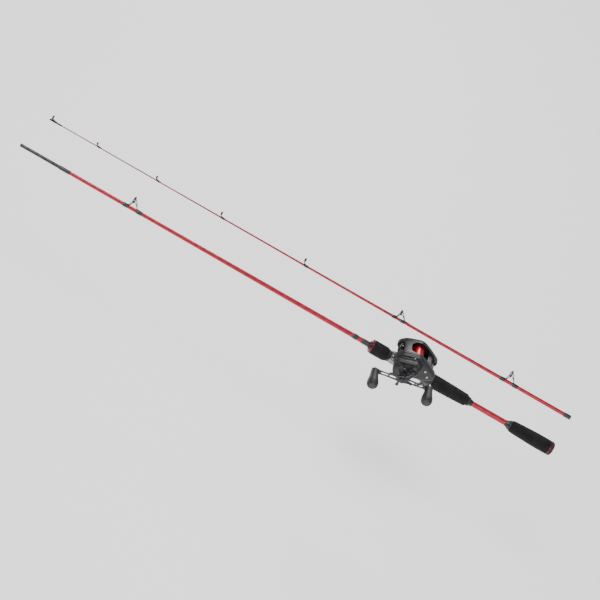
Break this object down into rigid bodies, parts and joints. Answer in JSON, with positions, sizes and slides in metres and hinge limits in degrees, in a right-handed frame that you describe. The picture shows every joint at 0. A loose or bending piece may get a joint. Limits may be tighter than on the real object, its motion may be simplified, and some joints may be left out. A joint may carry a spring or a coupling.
{
  "type": "fishing rod and reel",
  "caption": "Two-piece casting rod, taken apart, with a low-profile baitcasting reel, foam grips, trigger seat and ring line guides.",
  "frame": {"origin": "centre of the butt cap's end face, on the butt section's axis", "axes": "+X along the rod towards its tip, +Y towards the reel's handle side, +Z towards the side that carries the reel and the line guides"},
  "size_m": [1.058, 0.2053, 0.0695],
  "materials": {
    "blank_red": "clear-coated translucent red over dark graphite fibre, bare graphite on the male ferrule",
    "eva_foam": "closed-cell EVA foam, fine grain, matt",
    "butt_rubber": "matt moulded rubber",
    "red_trim": "red anodised, satin",
    "winding_check": "black anodised, satin, bright edge",
    "seat_graphite": "glass-filled nylon, fine texture",
    "hood_metal": "brushed",
    "thread_wrap": "black thread under epoxy",
    "guide_steel": "dark polished stainless wire",
    "guide_ceramic": "polished ceramic ring",
    "reel_graphite": "carbon-filled nylon, satin paint",
    "spool_red": "red anodised, turned",
    "bright_steel": "ground",
    "bearing_steel": "polished",
    "gear_brass": "cut",
    "nylon": "moulded",
    "drag_fibre": "woven carbon",
    "handle_metal": "dark anodised, satin"
  },
  "bodies": {
    "butt_section": {"butt_blank": "blank_red", "butt_cap": "butt_rubber", "butt_ring": "red_trim", "butt_grip": "eva_foam", "butt_grip_check": "winding_check", "rear_grip_check": "winding_check", "rear_grip": "eva_foam", "reel_seat": "seat_graphite", "butt_wraps": "thread_wrap", "stripper_guide": "guide_steel", "stripper_ring": "guide_ceramic", "reel_foot": "reel_graphite", "reel_frame": "reel_graphite", "handle_side_cover": "reel_graphite", "front_cover": "reel_graphite", "handle_bearing": "bearing_steel", "anti_reverse_bearing": "bearing_steel", "guide_rail": "bright_steel", "cover_screws": "bright_steel", "yoke_springs": "bright_steel"},
    "tip_section": {"tip_blank": "blank_red", "tip_wraps": "thread_wrap", "double_foot_guides": "guide_steel", "single_foot_guides": "guide_steel", "guide_rings": "guide_ceramic", "tip_top": "guide_steel", "tip_top_ring": "guide_ceramic"},
    "hood": {"sliding_hood": "hood_metal"},
    "nut": {"locking_nut": "seat_graphite", "fore_grip": "eva_foam", "fore_grip_ring": "red_trim", "fore_grip_check": "winding_check"},
    "crank": {"drive_shaft": "bright_steel", "drive_gear": "gear_brass", "shaft_cog": "nylon", "drag_washers": "drag_fibre", "crank_arm": "handle_metal", "crank_nut": "handle_metal", "knob_spindles": "bright_steel"},
    "star": {"star_drag": "handle_metal"},
    "knob_a": {"front_knob": "eva_foam", "front_knob_cap": "handle_metal"},
    "knob_b": {"rear_knob": "eva_foam", "rear_knob_cap": "handle_metal"},
    "spool": {"spool": "spool_red", "spool_shaft": "bright_steel"},
    "yoke": {"clutch_yoke": "nylon"},
    "pinion": {"pinion": "gear_brass"},
    "worm": {"worm_shaft": "bright_steel", "worm_gear": "nylon"},
    "level_wind": {"line_guide": "reel_graphite", "line_guide_ring": "guide_ceramic"},
    "thumb": {"thumb_bar": "reel_graphite"},
    "cast_cap": {"cast_control_cap": "handle_metal"},
    "palm": {"palm_side_cover": "reel_graphite", "palm_bearing": "bearing_steel", "brake_magnets": "bearing_steel"},
    "brake": {"brake_dial": "reel_graphite"}
  },
  "joints": [
    {"name": "tip_carry", "type": "slide", "parent": "butt_section", "child": "tip_section", "axis": [0.9962, 0.0876, 0], "range_m": [0, 1.16448]},
    {"name": "hood_slide", "type": "slide", "parent": "butt_section", "child": "hood", "axis": [1, 0, 0], "range_m": [0, 0.01]},
    {"name": "nut_turn", "type": "hinge", "parent": "hood", "child": "nut", "pos_m": [0.335, 0, 0], "axis": [1, 0, 0], "range_deg": [0, 1801]},
    {"name": "crank_turn", "type": "hinge", "parent": "butt_section", "child": "crank", "pos_m": [0.2945, 0, 0.0137], "axis": [0, 1, 0], "continuous": true},
    {"name": "star_turn", "type": "hinge", "parent": "crank", "child": "star", "pos_m": [0.2945, 0, 0.0137], "axis": [0, 1, 0], "range_deg": [-270, 270]},
    {"name": "front_knob_spin", "type": "hinge", "parent": "crank", "child": "knob_a", "pos_m": [0.33966, 0, 0.0016], "axis": [0, 1, 0], "continuous": true},
    {"name": "rear_knob_spin", "type": "hinge", "parent": "crank", "child": "knob_b", "pos_m": [0.24934, 0, 0.0258], "axis": [0, 1, 0], "continuous": true},
    {"name": "spool_spin", "type": "hinge", "parent": "butt_section", "child": "spool", "pos_m": [0.2825, 0, 0.029], "axis": [0, 1, 0], "continuous": true},
    {"name": "worm_spin", "type": "hinge", "parent": "butt_section", "child": "worm", "pos_m": [0.30896, 0, 0.02382], "axis": [0, 1, 0], "continuous": true},
    {"name": "line_guide_travel", "type": "slide", "parent": "butt_section", "child": "level_wind", "axis": [0, 1, 0], "range_m": [-0.009, 0.009]},
    {"name": "clutch_press", "type": "slide", "parent": "butt_section", "child": "thumb", "axis": [0, 0, -1], "range_m": [0, 0.003], "stiffness_N_per_m": 400, "springref_m": -0.001},
    {"name": "yoke_slide", "type": "slide", "parent": "butt_section", "child": "yoke", "axis": [0, 1, 0], "range_m": [0, 0.00151], "deforming": ["yoke_springs"]},
    {"name": "pinion_spin", "type": "hinge", "parent": "yoke", "child": "pinion", "pos_m": [0.2825, 0, 0.029], "axis": [0, 1, 0], "continuous": true},
    {"name": "cast_cap_turn", "type": "hinge", "parent": "butt_section", "child": "cast_cap", "pos_m": [0.2825, 0, 0.029], "axis": [0, 1, 0], "range_deg": [-180, 180]},
    {"name": "palm_cover_pull", "type": "slide", "parent": "butt_section", "child": "palm", "axis": [0, -1, 0], "range_m": [0, 0.04]},
    {"name": "brake_dial_turn", "type": "hinge", "parent": "palm", "child": "brake", "pos_m": [0.2825, 0, 0.029], "axis": [0, 1, 0], "range_deg": [0, 300]}
  ],
  "couplings": [
    {"joint": "nut_turn", "follows": "hood_slide", "rad_per_m": 3141.6},
    {"joint": "spool_spin", "follows": "crank_turn", "ratio": -6.4},
    {"joint": "pinion_spin", "follows": "crank_turn", "ratio": -6.4},
    {"joint": "worm_spin", "follows": "crank_turn", "ratio": -2.6667},
    {"joint": "yoke_slide", "follows": "clutch_press", "ratio": 0.5}
  ]
}
